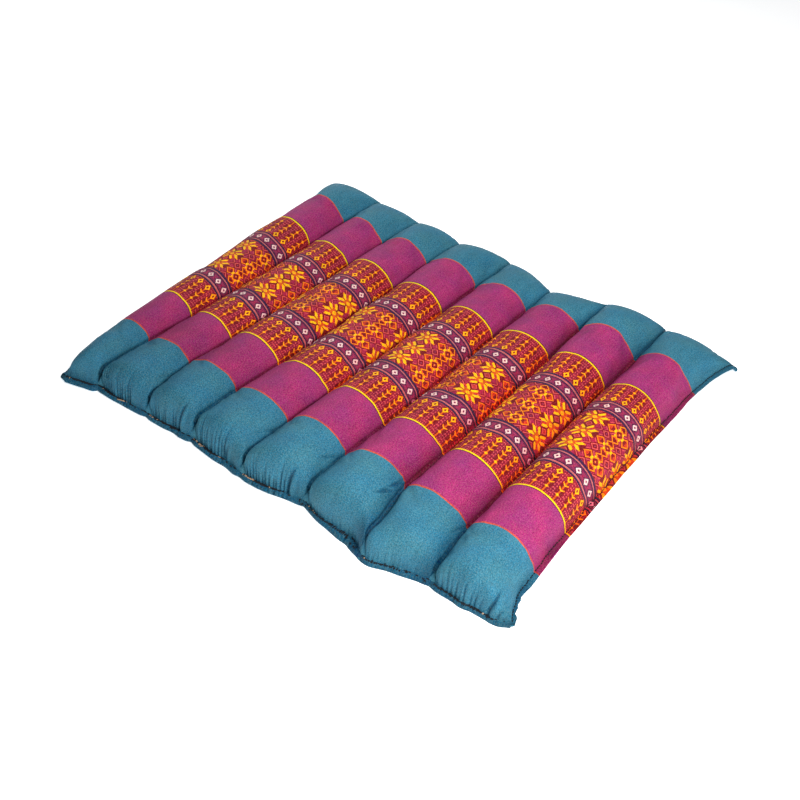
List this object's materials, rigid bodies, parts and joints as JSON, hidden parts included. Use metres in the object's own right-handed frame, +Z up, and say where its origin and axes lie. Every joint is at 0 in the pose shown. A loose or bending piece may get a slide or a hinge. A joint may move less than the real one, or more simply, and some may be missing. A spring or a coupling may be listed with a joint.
{
  "type": "meditation cushion",
  "caption": "Flat floor cushion of stuffed rolls sewn side by side in a banded woven cotton cover, with a hemmed lip all round.",
  "frame": {"origin": "on the surface that the cushion lies on, under the middle of its box", "axes": "+X across the rolls, +Y along the rolls from front to back, +Z up through the cushion"},
  "size_m": [0.518, 0.4718, 0.0513],
  "materials": {
    "woven_cover": "matte cotton"
  },
  "bodies": {
    "root": {"cushion": "woven_cover"}
  },
  "joints": []
}
